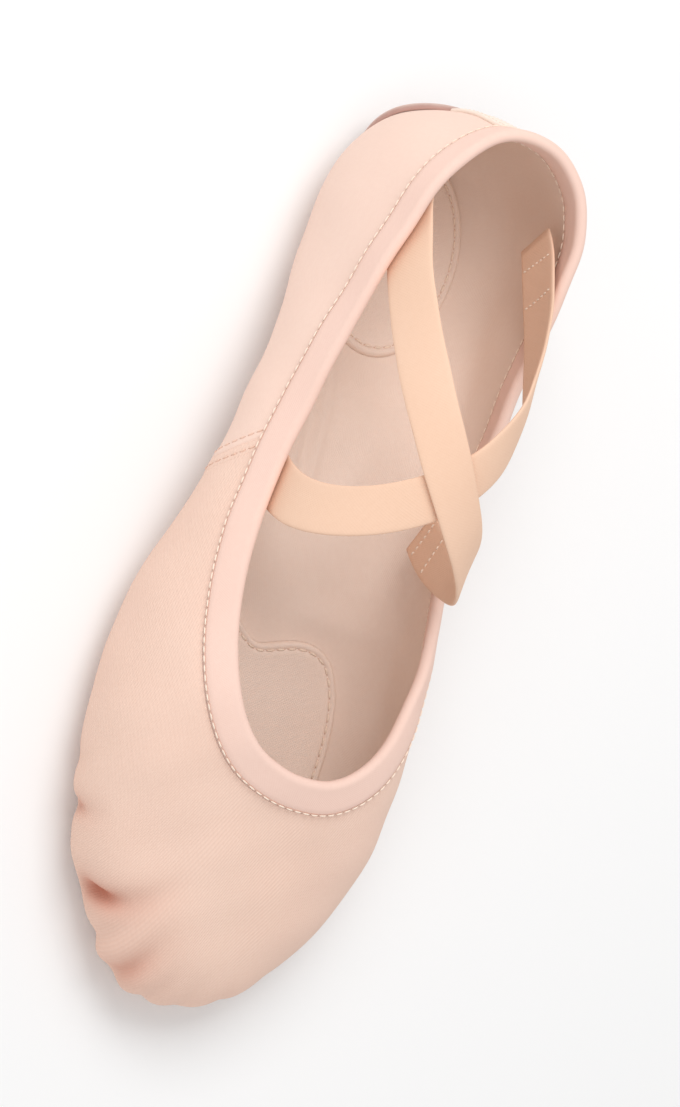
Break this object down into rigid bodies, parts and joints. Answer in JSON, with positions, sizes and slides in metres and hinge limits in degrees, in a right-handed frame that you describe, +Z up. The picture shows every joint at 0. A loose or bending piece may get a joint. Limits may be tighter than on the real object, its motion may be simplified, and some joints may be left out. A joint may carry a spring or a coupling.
{
  "type": "ballet slipper",
  "caption": "Split-sole ballet slipper for a right foot: stretch canvas sock, suede sole patches, folded collar binding and crossed instep elastics.",
  "frame": {"origin": "on the floor, in the middle of the shoe's length and breadth", "axes": "+X along the foot towards the toe, +Y towards the inner side of the foot, +Z up"},
  "size_m": [0.2398, 0.0848, 0.0784],
  "materials": {
    "canvas": "matt stretch canvas, twill weave",
    "binding": "matt woven tape",
    "tape": "plain cotton tape",
    "suede": "suede, short nap",
    "lining": "plain cotton",
    "elastic": "ribbed flat elastic, slight sheen"
  },
  "bodies": {
    "root": {"upper": "canvas", "collar_binding": "binding", "forefoot_sole_patch": "suede", "heel_sole_patch": "suede", "heel_tape": "tape", "arch_tape": "canvas", "insole_forefoot": "lining", "insole_heel": "lining", "elastic_under": "elastic", "elastic_over": "elastic"}
  },
  "joints": []
}
